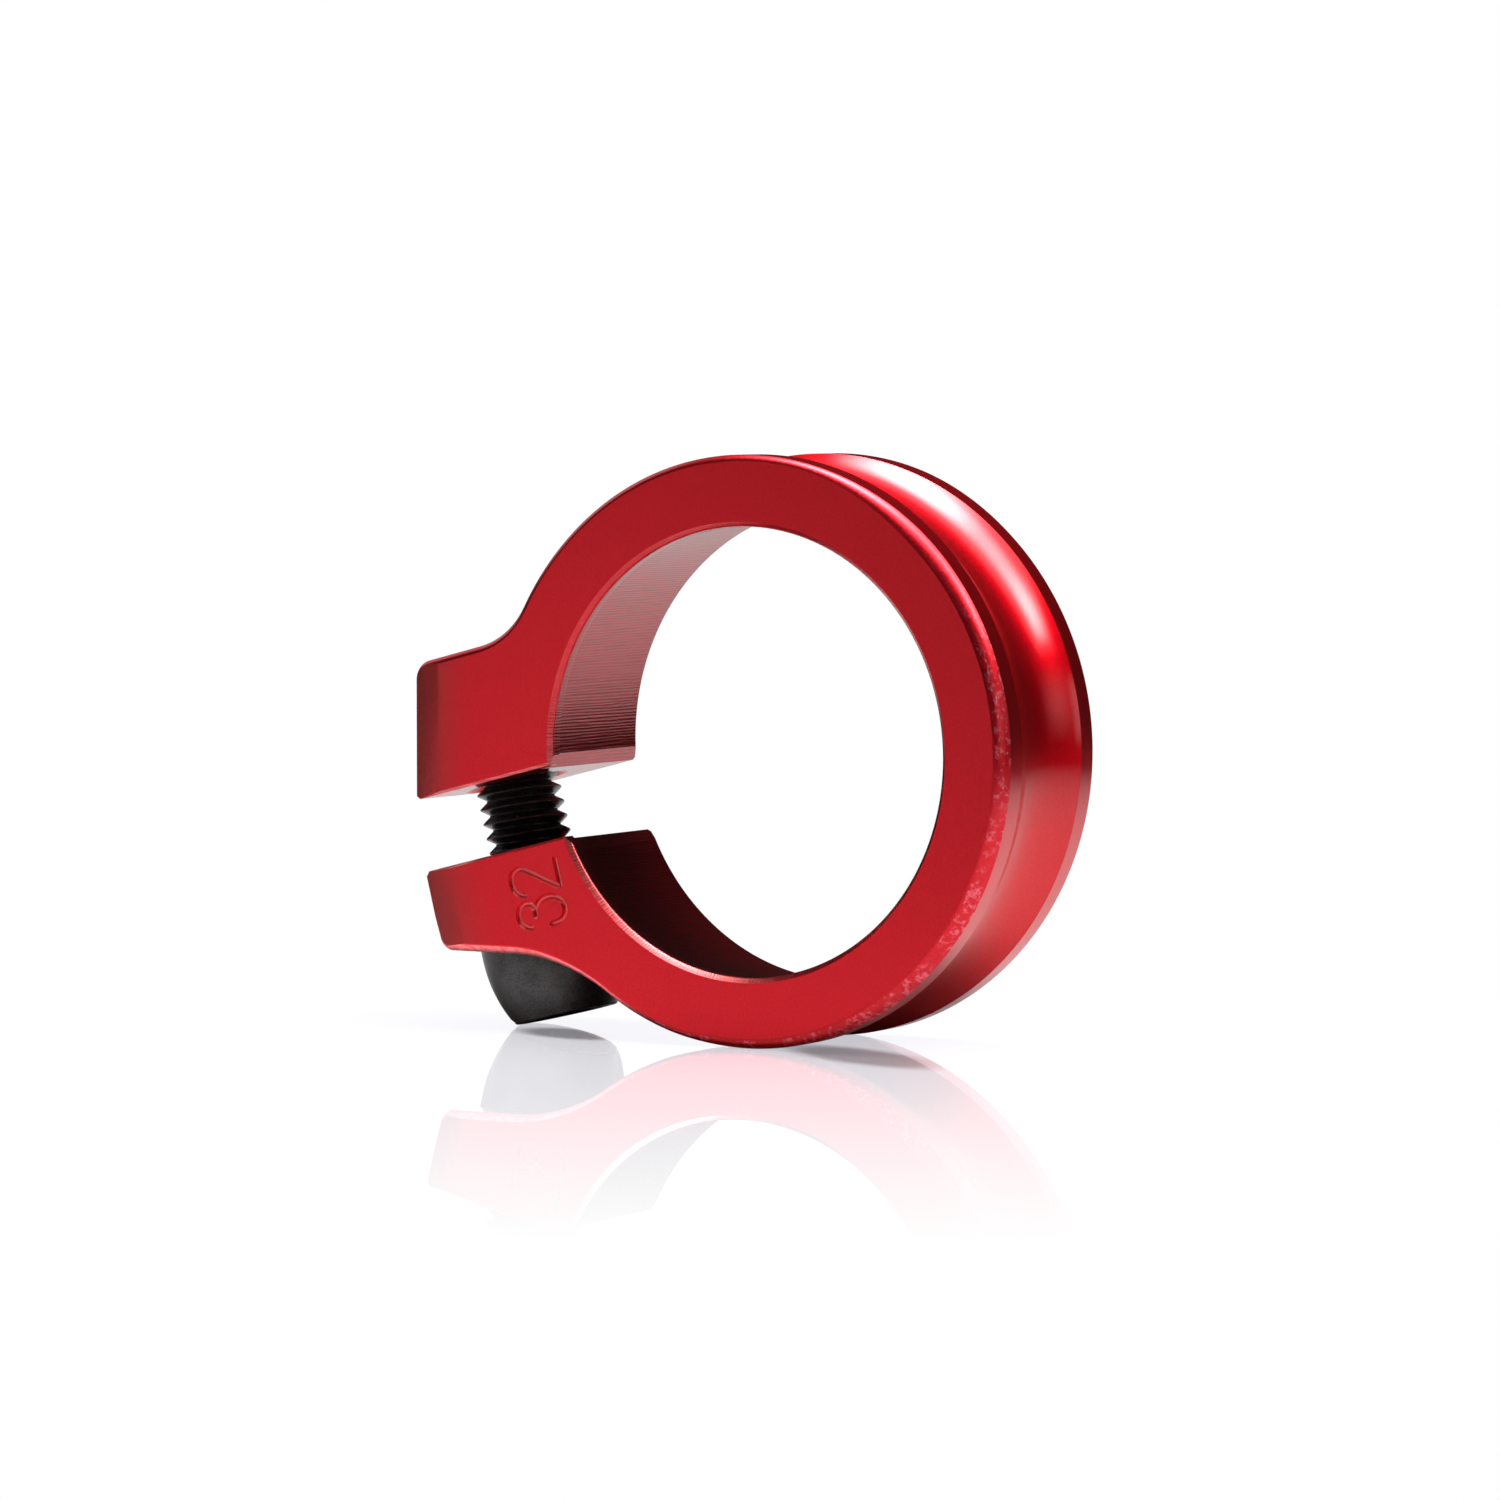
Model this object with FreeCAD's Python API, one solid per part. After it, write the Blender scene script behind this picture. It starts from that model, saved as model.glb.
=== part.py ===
import FreeCAD, Part
import math
import os

from FreeCAD import Vector

os.makedirs("parts", exist_ok=True)

# Seatpost clamp for a 31.8 mm seat tube. Millimetres.
# The bore axis is Y and the front face, with the lip, looks towards -Y.
# Everything is first modelled level: the slot points to -X, u is the distance from the bore axis
# along the slot, and v is the height over the slot's middle plane. The finished pieces are then
# turned about the bore axis until both the rims and the bolt head stand on the same floor.

# Ring
BORE_D = 31.8
LIP_D = 29.45
LIP_LENGTH = 1.1
RING_D = 38.85
WIDTH = 13.0
BORE_CHAMFER = 0.35

# Waist groove turned round the ring, between two lands
GROOVE_WIDTH = 8.2
GROOVE_DEPTH = 1.7
RUNOUT_R = 9.0
RUNOUT_MARGIN = 1.5

# Outer edges: an even chamfer along the whole outline, and a wider one turned off-centre on the
# rims of the ring. It starts at RIM_START, an angle from the slot plane over the top, is deepest
# half way to the lower ear, and runs out there.
EDGE_CHAMFER = 0.42
RIM_CHAMFER = 0.88
RIM_START = 109.0

# Slot
SLOT_GAP = 4.86
SLOT_EDGE_CHAMFER = 0.18
SLOT_END_CHAMFER = 0.45
FACE_BEVEL_LENGTH = 2.1
FACE_BEVEL_DEPTH = 0.2
BORE_CORNER_U = 0.6
BORE_CORNER_V = 0.85
LIP_CORNER_U = 0.4
LIP_CORNER_V = 0.6

# Upper ear, tapped
UPPER_TOP = 11.36
UPPER_END = 25.7
UPPER_RAKE = 14.2
UPPER_CORNER_R = 1.35
UPPER_FILLET_R = 5.5

# Lower ear, with the seat of the bolt head
LOWER_END = 26.4
LOWER_BOTTOM = 14.03
LOWER_SLOPE = 14.2
LOWER_CORNER_R = 1.0
LOWER_FILLET_R = 14.0
SEAT_THICKNESS = 5.25

# Bolt, M6 x 14
BOLT_U = 21.65
THREAD_D = 6.0
SHANK_LENGTH = 14.0
SHANK_CHAMFER = 0.6
HEAD_D = 9.6
HEAD_HEIGHT = 6.0
HEAD_END_D = 7.1
HEAD_STRAIGHT = 1.3
HEAD_EDGE = 0.15
SOCKET_AF = 5.0
SOCKET_DEPTH = 3.2
SOCKET_CONE = 0.8

# Fits
THREAD_CLEARANCE = 0.05
SHANK_CLEARANCE = 0.3
HEAD_CLEARANCE = 0.25
SEAT_CLEARANCE = 0.02
THREAD_MOUTH = 0.5
THREAD_RUN = 0.6
TAP_DRILL_D = 5.0
TAP_DRILL_EXTRA = 0.9
TAP_DRILL_POINT = 118.0
HOLE_MOUTH = 0.3

# Derived
RING_R = RING_D / 2
BORE_R = BORE_D / 2
LIP_R = LIP_D / 2
HALF_WIDTH = WIDTH / 2
HALF_GAP = SLOT_GAP / 2
HEAD_R = HEAD_D / 2
HEAD_END_R = HEAD_END_D / 2
THREAD_R = THREAD_D / 2
SEAT_V = -(HALF_GAP + SEAT_THICKNESS)
HEAD_TOP_V = SEAT_V - SEAT_CLEARANCE
HEAD_END_V = HEAD_TOP_V - HEAD_HEIGHT
TIP_V = HEAD_TOP_V + SHANK_LENGTH
THREAD_END_V = TIP_V + THREAD_RUN
REACH = 2 * (RING_R + UPPER_END)

AXIS_Y = Vector(0, 1, 0)
ORIGIN = Vector(0, 0, 0)


def at(u, v, y=0.0):
    """Point of the level model: u along the slot, v over its middle plane."""
    return Vector(-u, y, v)


def lean_angle():
    """Angle about the bore axis that puts the end edge of the bolt head on the rims' floor."""
    foot_u = BOLT_U + HEAD_END_R - HEAD_EDGE
    foot_v = -HEAD_END_V
    return math.degrees(math.atan2(foot_u, foot_v) - math.acos(RING_R / math.hypot(foot_u, foot_v)))


def cylinder(radius, low_y, high_y, u=0.0, v=0.0):
    """Cylinder along the bore axis from low_y to high_y."""
    return Part.makeCylinder(radius, high_y - low_y, at(u, v, low_y), AXIS_Y)


def cone(radius_low, radius_high, low_y, high_y):
    return Part.makeCone(radius_low, radius_high, high_y - low_y, at(0, 0, low_y), AXIS_Y)


def post(radius, low_v, high_v):
    """Cylinder along the bolt axis from low_v to high_v."""
    return Part.makeCylinder(radius, high_v - low_v, at(BOLT_U, low_v), Vector(0, 0, 1))


def prism(corners, low_y, high_y):
    """Straight prism along the bore axis over a polygon of (u, v) corners."""
    points = [at(u, v, low_y) for u, v in corners]
    face = Part.Face(Part.makePolygon(points + [points[0]]))
    return face.extrude(Vector(0, high_y - low_y, 0))


def arc(centre, radius, start, end, y):
    """Short arc from start to end round centre, all given as (u, v)."""
    mid_u = (start[0] + end[0]) / 2 - centre[0]
    mid_v = (start[1] + end[1]) / 2 - centre[1]
    k = radius / math.hypot(mid_u, mid_v)
    middle = at(centre[0] + mid_u * k, centre[1] + mid_v * k, y)
    return Part.Arc(at(*start, y), middle, at(*end, y)).toShape()


def line(start, end, y):
    return Part.LineSegment(at(*start, y), at(*end, y)).toShape()


# A straight side of an ear is (angle, distance): the direction of its outward normal in the
# (u, v) plane, in degrees, and its distance from the bore axis.

def normal(side):
    a = math.radians(side[0])
    return math.cos(a), math.sin(a)


def foot(point, side):
    """Point of a straight side that lies nearest to the given point."""
    n = normal(side)
    gap = side[1] - (point[0] * n[0] + point[1] * n[1])
    return point[0] + n[0] * gap, point[1] + n[1] * gap


def crossing(side_a, side_b):
    """Point where two straight sides meet."""
    a, b = normal(side_a), normal(side_b)
    det = a[0] * b[1] - a[1] * b[0]
    u = (side_a[1] * b[1] - side_b[1] * a[1]) / det
    v = (a[0] * side_b[1] - b[0] * side_a[1]) / det
    return u, v


def ring_fillet_centre(side, ring_r, fillet_r):
    """Centre of the hollow fillet that joins a straight side to the ring."""
    n = normal(side)
    away = side[1] + fillet_r
    along = math.sqrt((ring_r + fillet_r) ** 2 - away ** 2)
    turn = 1 if n[1] > 0 else -1
    return n[0] * away + n[1] * turn * along, n[1] * away - n[0] * turn * along


UPPER_BROAD = (90.0, UPPER_TOP)
UPPER_TIP = (UPPER_RAKE, UPPER_END)
LOWER_BROAD = (LOWER_SLOPE - 90.0, LOWER_BOTTOM)
LOWER_TIP = (0.0, LOWER_END)


def polar(angle_deg):
    """Point on the outside of the ring at an angle from the slot plane."""
    a = math.radians(angle_deg)
    return RING_R * math.cos(a), RING_R * math.sin(a)


def joint_angle(broad, fillet_r):
    """Angle round the bore axis, from the slot plane, where an ear's fillet meets the ring."""
    u, v = ring_fillet_centre(broad, RING_R, fillet_r)
    return math.degrees(math.atan2(v, u))


def ear_edges(broad, tip, corner_r, fillet_r, y):
    """Outline of one ear from inside the slot, round its tip, to where it meets the ring."""
    n = normal(tip)
    side = 1 if broad[0] > 0 else -1
    inside_v = side * HALF_GAP / 4
    start = ((tip[1] - n[1] * inside_v) / n[0], inside_v)
    corner = crossing((broad[0], broad[1] - corner_r), (tip[0], tip[1] - corner_r))
    corner_in = foot(corner, tip)
    corner_out = foot(corner, broad)
    fillet = ring_fillet_centre(broad, RING_R, fillet_r)
    fillet_in = foot(fillet, broad)
    joint = polar(joint_angle(broad, fillet_r))
    edges = [
        line(start, corner_in, y),
        arc(corner, corner_r, corner_in, corner_out, y),
        line(corner_out, fillet_in, y),
        arc(fillet, fillet_r, fillet_in, joint, y),
    ]
    return edges, start


def outline(y):
    """Outline of the band with both ears and without the slot, as a wire at height y."""
    upper, upper_start = ear_edges(UPPER_BROAD, UPPER_TIP, UPPER_CORNER_R, UPPER_FILLET_R, y)
    lower, lower_start = ear_edges(LOWER_BROAD, LOWER_TIP, LOWER_CORNER_R, LOWER_FILLET_R, y)
    first = joint_angle(UPPER_BROAD, UPPER_FILLET_R)
    last = 360 + joint_angle(LOWER_BROAD, LOWER_FILLET_R)
    middle = at(*polar((first + last) / 2), y)
    rim = Part.Arc(at(*polar(first), y), middle, at(*polar(last), y)).toShape()
    bridge = line(lower_start, upper_start, y)
    return Part.Wire(upper + [rim] + lower[::-1] + [bridge])


def blank():
    """Band with both ears and its outer edges chamfered, not yet bored, grooved or slit."""
    solid = Part.Face(outline(-HALF_WIDTH)).extrude(Vector(0, WIDTH, 0))
    edges = []
    for edge in solid.Edges:
        box = edge.BoundBox
        if box.YLength < 0.001:
            edges.append(edge)
    return solid.makeChamfer(EDGE_CHAMFER, edges)


def revolved(edges, centre_u, centre_v, start_deg, sweep_deg):
    """Solid of revolution about a line parallel to the bore axis, starting at start_deg from u."""
    face = Part.Face(Part.Wire(edges))
    base = at(centre_u, centre_v)
    face.rotate(base, AXIS_Y, start_deg)
    return face.revolve(base, AXIS_Y, sweep_deg)


def rim_cutter(start_deg, end_deg, face):
    """Off-centre cone that widens the chamfer of one rim and runs out into it at both ends."""
    half_sweep = (end_deg - start_deg) / 2
    middle = math.radians((start_deg + end_deg) / 2)
    run_out = EDGE_CHAMFER - 0.01
    shift = (RIM_CHAMFER - run_out) / (1 - math.cos(math.radians(half_sweep)))
    centre_u = -shift * math.cos(middle)
    centre_v = -shift * math.sin(middle)
    rim_r = RING_R + shift - RIM_CHAMFER
    y = face * HALF_WIDTH
    over = 1.0
    wide = RIM_CHAMFER + shift + over
    corners = [
        at(centre_u + rim_r - over, centre_v, y + face * over),
        at(centre_u + rim_r + wide, centre_v, y - face * wide),
        at(centre_u + rim_r + wide, centre_v, y + face * over),
    ]
    edges = []
    for a, b in zip(corners, corners[1:] + corners[:1]):
        edges.append(Part.LineSegment(a, b).toShape())
    return revolved(edges, centre_u, centre_v, start_deg, end_deg - start_deg)


def groove_edges(top_r, centre_u, centre_v, outward):
    """Section of the waist groove; outward is 1 for the ring and -1 for the round form cutter."""
    half = GROOVE_WIDTH / 2

    def p(r, y):
        return at(centre_u + r, centre_v, y)

    floor_r = top_r - outward * GROOVE_DEPTH
    back_r = top_r + outward * 2
    return [
        Part.Arc(p(top_r, -half), p(floor_r, 0), p(top_r, half)).toShape(),
        Part.LineSegment(p(top_r, half), p(back_r, half)).toShape(),
        Part.LineSegment(p(back_r, half), p(back_r, -half)).toShape(),
        Part.LineSegment(p(back_r, -half), p(top_r, -half)).toShape(),
    ]


def runout(angle_deg):
    """Round form cutter where it leaves the ring, at the given angle from the slot plane."""
    a = math.radians(angle_deg)
    centre_r = RING_R - GROOVE_DEPTH + RUNOUT_R
    u = centre_r * math.cos(a)
    v = centre_r * math.sin(a)
    half = GROOVE_WIDTH / 2
    edge_r = RUNOUT_R - GROOVE_DEPTH

    def p(r, y):
        return at(u + r, v, y)

    edges = [
        Part.LineSegment(p(0, -half), p(edge_r, -half)).toShape(),
        Part.Arc(p(edge_r, -half), p(RUNOUT_R, 0), p(edge_r, half)).toShape(),
        Part.LineSegment(p(edge_r, half), p(0, half)).toShape(),
        Part.LineSegment(p(0, half), p(0, -half)).toShape(),
    ]
    return revolved(edges, u, v, 0, 360)


def groove_cutters(upper_deg, lower_deg):
    """Waist groove round the ring and its two run-outs, clear of the ears' fillets."""
    reach_mm = math.sqrt(2 * GROOVE_DEPTH / (1 / RUNOUT_R + 1 / RING_R))
    clear_deg = math.degrees((reach_mm + RUNOUT_MARGIN) / RING_R)
    start = upper_deg + clear_deg
    end = 360 + lower_deg - clear_deg
    sweep = revolved(groove_edges(RING_R, 0, 0, 1), 0, 0, start, end - start)
    return [sweep, runout(start), runout(end)]


def bore_cutters():
    """Bore, front lip and the small chamfers at both mouths."""
    lip_back = LIP_LENGTH - HALF_WIDTH
    small = BORE_CHAMFER
    return [
        cylinder(LIP_R, -HALF_WIDTH - 1, HALF_WIDTH + 1),
        cylinder(BORE_R, lip_back, HALF_WIDTH + 1),
        cone(LIP_R + small + 1, LIP_R, -HALF_WIDTH - 1, small - HALF_WIDTH),
        cone(BORE_R, BORE_R + small + 1, HALF_WIDTH - small, HALF_WIDTH + 1),
    ]


def corner_cutter(radius, cut_u, cut_v, low_y, high_y, side):
    """Wedge that breaks the corner between the slot face and a bore of the given radius."""
    top_v = HALF_GAP + cut_v
    bore_u = math.sqrt(radius ** 2 - top_v ** 2)
    slot_u = bore_u + cut_u
    slope = cut_u / cut_v
    over = 0.5
    corners = [
        (slot_u + slope * over, side * (HALF_GAP - over)),
        (bore_u - slope * over, side * (top_v + over)),
        (bore_u - slope * over - 2, side * (top_v + over)),
        (bore_u - 2, side * (HALF_GAP - over)),
    ]
    return prism(corners, low_y, high_y)


def slot_cutters():
    """Slot, the broken edges of its faces, and its corners at the ends and at the bore."""
    lip_back = LIP_LENGTH - HALF_WIDTH
    inner_u = LIP_R / 2
    cuts = [prism([(inner_u, -HALF_GAP), (REACH, -HALF_GAP), (REACH, HALF_GAP), (inner_u, HALF_GAP)],
                  -HALF_WIDTH - 1, HALF_WIDTH + 1)]
    for side in (-1, 1):
        cuts.append(corner_cutter(BORE_R, BORE_CORNER_U, BORE_CORNER_V, lip_back, HALF_WIDTH + 1, side))
        cuts.append(corner_cutter(LIP_R, LIP_CORNER_U, LIP_CORNER_V, -HALF_WIDTH - 1, lip_back, side))
        for face in (-1, 1):
            cuts.append(slot_edge_cutter(side, face))
    cuts.append(slot_end_cutter(UPPER_TIP, 1))
    cuts.append(slot_end_cutter(LOWER_TIP, -1))
    return cuts


def bevel_cutters():
    """Bevels along the ends of both ears, front and rear."""
    cuts = []
    for tip, side in ((UPPER_TIP, 1), (LOWER_TIP, -1)):
        for face in (-1, 1):
            cuts.append(face_bevel_cutter(tip, side, face))
    return cuts


def slot_edge_cutter(side, face):
    """Long wedge that breaks the edge between a slot face and the front or rear face."""
    over = 0.5
    leg = SLOT_EDGE_CHAMFER + 2 * over
    v = side * (HALF_GAP - over)
    y = face * (HALF_WIDTH + over)
    start_u = LIP_R / 2
    points = [at(start_u, v, y), at(start_u, v, y - face * leg), at(start_u, v + side * leg, y)]
    return Part.Face(Part.makePolygon(points + [points[0]])).extrude(Vector(-REACH, 0, 0))


def slot_end_cutter(tip, side):
    """Wedge across the whole width that breaks the corner of a slot face at the ear's end."""
    c = SLOT_END_CHAMFER
    n = normal(tip)
    end_u = (tip[1] - n[1] * side * HALF_GAP) / n[0]
    corners = [
        (end_u - c - 0.5, side * (HALF_GAP - 0.5)),
        (end_u + 1, side * (HALF_GAP - 0.5)),
        (end_u + 1, side * (HALF_GAP + c + 1)),
    ]
    return prism(corners, -HALF_WIDTH - 1, HALF_WIDTH + 1)


def face_bevel_cutter(tip, side, face):
    """Long thin wedge that bevels the front or rear face of an ear along its end."""
    n = normal(tip)
    along = Vector(n[1], 0, n[0]) * side
    past = 1.0
    deep = FACE_BEVEL_DEPTH * (1 + past / FACE_BEVEL_LENGTH)
    start = tip[1] - FACE_BEVEL_LENGTH
    y = face * HALF_WIDTH

    def p(distance, height):
        return at(n[0] * distance, n[1] * distance, height)

    points = [
        p(start, y),
        p(tip[1] + past, y - face * deep),
        p(tip[1] + past, y + face),
        p(start, y + face),
    ]
    wedge = Part.Face(Part.makePolygon(points + [points[0]])).extrude(along * RING_D)
    wedge.translate(along * (-n[1] * tip[1] / n[0]))
    return wedge


def mouth(radius, size, v, side):
    """Cone that breaks the mouth of a bolt hole at height v; the hole runs towards side."""
    over = 0.5
    base = at(BOLT_U, v - side * over)
    return Part.makeCone(radius + size + over, radius, size + over, base, Vector(0, 0, side))


def tap_drill():
    """Drilled end of the tapped hole, past the thread, with the drill's point."""
    radius = TAP_DRILL_D / 2
    depth_v = THREAD_END_V + TAP_DRILL_EXTRA
    point = radius / math.tan(math.radians(TAP_DRILL_POINT / 2))
    drill = post(radius, 0, depth_v)
    return drill.fuse(Part.makeCone(radius, 0, point, at(BOLT_U, depth_v), Vector(0, 0, 1)))


def bolt_hole_cutters():
    """Blind tapped hole in the upper ear, clearance hole and head seat in the lower one."""
    tapped_r = THREAD_R + THREAD_CLEARANCE
    passing_r = THREAD_R + SHANK_CLEARANCE
    seat_r = HEAD_R + HEAD_CLEARANCE
    return [
        post(tapped_r, 0, THREAD_END_V),
        tap_drill(),
        post(passing_r, SEAT_V - 1, 0),
        post(seat_r, -REACH / 2, SEAT_V),
        mouth(tapped_r, THREAD_MOUTH, HALF_GAP, 1),
        mouth(passing_r, HOLE_MOUTH, -HALF_GAP, -1),
    ]


def clamp_band():
    """The split ring with its two ears, one machined piece."""
    upper_deg = joint_angle(UPPER_BROAD, UPPER_FILLET_R)
    lower_deg = joint_angle(LOWER_BROAD, LOWER_FILLET_R)
    cutters = [rim_cutter(RIM_START, 360 + lower_deg, face) for face in (-1, 1)]
    cutters += groove_cutters(upper_deg, lower_deg)
    cutters += bore_cutters()
    cutters += slot_cutters()
    cutters += bevel_cutters()
    cutters += bolt_hole_cutters()
    band = blank()
    for cutter in cutters:
        band = band.cut(cutter)
    return band


def head_edges():
    """Half section of the bolt in the plane y = 0, from the head's end to the tip of the shank."""
    bulge = HEAD_R - HEAD_END_R
    rise = HEAD_HEIGHT - HEAD_STRAIGHT
    bow_r = (bulge ** 2 + rise ** 2) / (2 * bulge)
    bow_v = HEAD_END_V + rise
    edge_v = HEAD_END_V + HEAD_EDGE
    edge_r = HEAD_R - bow_r + math.sqrt(bow_r ** 2 - (bow_v - edge_v) ** 2)
    middle_v = (edge_v + bow_v) / 2
    middle_r = HEAD_R - bow_r + math.sqrt(bow_r ** 2 - (bow_v - middle_v) ** 2)

    def p(r, v):
        return at(BOLT_U + r, v)

    def side(start, end):
        return Part.LineSegment(p(*start), p(*end)).toShape()

    return [
        side((0, HEAD_END_V), (HEAD_END_R - HEAD_EDGE, HEAD_END_V)),
        side((HEAD_END_R - HEAD_EDGE, HEAD_END_V), (edge_r, edge_v)),
        Part.Arc(p(edge_r, edge_v), p(middle_r, middle_v), p(HEAD_R, bow_v)).toShape(),
        side((HEAD_R, bow_v), (HEAD_R, HEAD_TOP_V)),
        side((HEAD_R, HEAD_TOP_V), (THREAD_R, HEAD_TOP_V)),
        side((THREAD_R, HEAD_TOP_V), (THREAD_R, TIP_V - SHANK_CHAMFER)),
        side((THREAD_R, TIP_V - SHANK_CHAMFER), (THREAD_R - SHANK_CHAMFER, TIP_V)),
        side((THREAD_R - SHANK_CHAMFER, TIP_V), (0, TIP_V)),
        side((0, TIP_V), (0, HEAD_END_V)),
    ]


def hex_socket():
    """Hexagonal key socket with a drill point at its bottom."""
    corner_r = SOCKET_AF / math.sqrt(3)
    points = []
    for k in range(6):
        a = math.radians(60 * k)
        points.append(Vector(-BOLT_U + corner_r * math.sin(a), corner_r * math.cos(a), HEAD_END_V - 1))
    hexagon = Part.Face(Part.makePolygon(points + [points[0]])).extrude(Vector(0, 0, SOCKET_DEPTH + 1))
    bottom_v = HEAD_END_V + SOCKET_DEPTH
    drill = Part.makeCone(SOCKET_AF / 2, 0, SOCKET_CONE, at(BOLT_U, bottom_v), Vector(0, 0, 1))
    return hexagon.fuse(drill)


def clamp_bolt():
    """Socket bolt with a bowed head, its thread left as a plain shank."""
    axis_point = at(BOLT_U, 0)
    solid = Part.Face(Part.Wire(head_edges())).revolve(axis_point, Vector(0, 0, 1), 360)
    return solid.cut(hex_socket())


def lean(solid):
    """Turn a finished piece about the bore axis into its resting place."""
    turned = solid.copy()
    turned.rotate(ORIGIN, AXIS_Y, -lean_angle())
    return turned


def export(name, solid):
    turned = lean(solid)
    if len(turned.Solids) != 1 or not turned.isValid():
        raise ValueError(name + " is not one valid solid")
    turned.Solids[0].exportStep("parts/" + name + ".step")
    box = turned.BoundBox
    print(name, "volume %.1f" % turned.Volume, "z from %.3f to %.3f" % (box.ZMin, box.ZMax))


print("lean %.3f degrees" % lean_angle())
export("clamp_band", clamp_band())
export("clamp_bolt", clamp_bolt())
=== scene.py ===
import bpy
import bmesh
import math
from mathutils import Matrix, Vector

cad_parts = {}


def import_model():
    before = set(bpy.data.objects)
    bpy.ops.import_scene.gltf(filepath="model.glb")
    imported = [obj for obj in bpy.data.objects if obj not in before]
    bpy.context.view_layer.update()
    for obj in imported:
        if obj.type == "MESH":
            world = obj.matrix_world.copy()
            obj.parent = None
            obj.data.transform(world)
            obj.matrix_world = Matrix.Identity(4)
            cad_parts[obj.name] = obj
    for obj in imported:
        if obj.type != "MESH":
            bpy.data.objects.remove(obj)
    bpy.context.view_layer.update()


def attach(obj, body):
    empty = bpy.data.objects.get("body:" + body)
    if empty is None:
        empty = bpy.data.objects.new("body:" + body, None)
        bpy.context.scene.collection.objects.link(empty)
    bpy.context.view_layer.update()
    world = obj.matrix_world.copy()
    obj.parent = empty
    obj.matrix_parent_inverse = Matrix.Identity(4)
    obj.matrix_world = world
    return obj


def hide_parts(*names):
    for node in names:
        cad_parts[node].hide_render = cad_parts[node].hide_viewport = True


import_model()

MM = 0.001

# Ring, bore and groove, in mm.
RING_R = 38.85 / 2
BORE_R = 15.9
LIP_R = 29.45 / 2
LIP_LENGTH = 1.1
HALF_WIDTH = 6.5
STOP_Y = LIP_LENGTH - HALF_WIDTH
BORE_CHAMFER = 0.35
BORE_SOFT = 0.13
LIP_REAR_EDGE = 0.06
GROOVE_HALF = 4.1
GROOVE_DEPTH = 1.7
GROOVE_ARC_R = (GROOVE_HALF ** 2 + GROOVE_DEPTH ** 2) / (2 * GROOVE_DEPTH)
RUNOUT_R = 9.0
RUNOUT_MARGIN = 1.5

# Ears and slot, in mm. A side is the direction of its normal in degrees and its distance from the axis.
HALF_GAP = 2.43
UPPER_SIDE = (90.0, 11.36)
UPPER_TIP = (14.2, 25.7)
UPPER_CORNER_R = 1.35
UPPER_FILLET_R = 5.5
LOWER_SIDE = (-75.8, 14.03)
LOWER_TIP = (0.0, 26.4)
LOWER_CORNER_R = 1.0
LOWER_FILLET_R = 14.0
EARS = ((UPPER_TIP, 1), (LOWER_TIP, -1))

# Softened edges, in mm. A rim station is an angle round the ring in degrees and the width of the edge there.
RIM_STATIONS = ((116.0, 0.42), (150.0, 0.85), (238.0, 0.85), (288.0, 0.68), (302.0, 0.42))
EAR_EDGE = 0.42
UNDER_EDGE = 0.58
UNDER_EDGE_V = -5.5
UNDER_EDGE_RISE = 2.0
ROUNDED_SHARE = 0.5
SLOT_EDGE = 0.18
SLOT_END = 0.45
BORE_CORNER = (0.6, 0.85)
LIP_CORNER = (0.4, 0.6)
BEVEL_LENGTH = 2.1
BEVEL_DEPTH = 0.2

# Bolt and its holes, in mm.
BOLT_U = 21.65
SEAT_V = -(HALF_GAP + 5.25)
SEAT_R = 5.05
PASSING_R = 3.3
PASSING_EDGE = 0.3
TAPPED_R = 3.05
TAPPED_EDGE = 0.5
DRILL_R = 2.5
DRILL_STRAIGHT = 0.9
DRILL_POINT = 2.4
HEAD_LENGTH = 6.0
HEAD_TOP = SEAT_V - 0.02
HEAD_END = HEAD_TOP - HEAD_LENGTH
HEAD_R = 4.8
HEAD_END_R = 3.55
HEAD_STRAIGHT = 1.3
HEAD_EDGE = 0.15
HEAD_TOP_EDGE = 0.12
SOCKET_HALF = 2.5
TIP_V = HEAD_TOP + 14.0
TIP_CHAMFER = 0.3
TAPPED_END = TIP_V + 0.6
THREAD_R = 2.86
THREAD_ROOT = 2.30
THREAD_PHASE = 0.35
PITCH = 1.0

# The part lies on its ring and on the end of the bolt's head, and so the slot leans.
FOOT_U = BOLT_U + HEAD_END_R - HEAD_EDGE
LEAN = math.atan2(FOOT_U, -HEAD_END) - math.acos(RING_R / math.hypot(FOOT_U, HEAD_END))
FLOOR_Z = -RING_R

# How fine the meshes are, and how far the cutters stand past what they cut, in mm.
OUTLINE_STEP = 0.4
CORNER_STEP_DEG = 7.5
EDGE_STEPS = 8
GROOVE_STEPS = 30
GROOVE_LEAST_HALF = 0.3
CROWDED_SHARE = 0.35
LAND_STEPS = 3
SOFT_STEPS = 4
ON_RING = 0.01
PAST = 0.5
OUTSIDE = HALF_WIDTH + 1
SLOT_FROM = 7.0
SLOT_TO = 30.0
BELOW_V = -30
BEVEL_PAST = 1.0
BEVEL_SPAN = 16.0
STROKE_SIDES = 14
STROKE_END_STEPS = 5
BOW_STEPS = 20
HEAD_SIDES = 96
THREAD_SIDES = 72
WELD_DISTANCE = 1e-7
BAND_SHARP_DEG = 14
BOLT_SHARP_DEG = 32


def world(u, v, y):
    """Point of the shared frame, in metres, for u along the slot, v across it and y along the bore."""
    x = -u * math.cos(LEAN) - v * math.sin(LEAN)
    z = -u * math.sin(LEAN) + v * math.cos(LEAN)
    return Vector((x * MM, y * MM, z * MM))


def upright(point):
    """The u and v of a point of the shared frame that is given in mm."""
    return (-point.x * math.cos(LEAN) - point.z * math.sin(LEAN),
            -point.x * math.sin(LEAN) + point.z * math.cos(LEAN))


def round_bore(radius, turn, y):
    """Point on a circle round the bore's axis."""
    return world(radius * math.cos(turn), radius * math.sin(turn), y)


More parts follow.
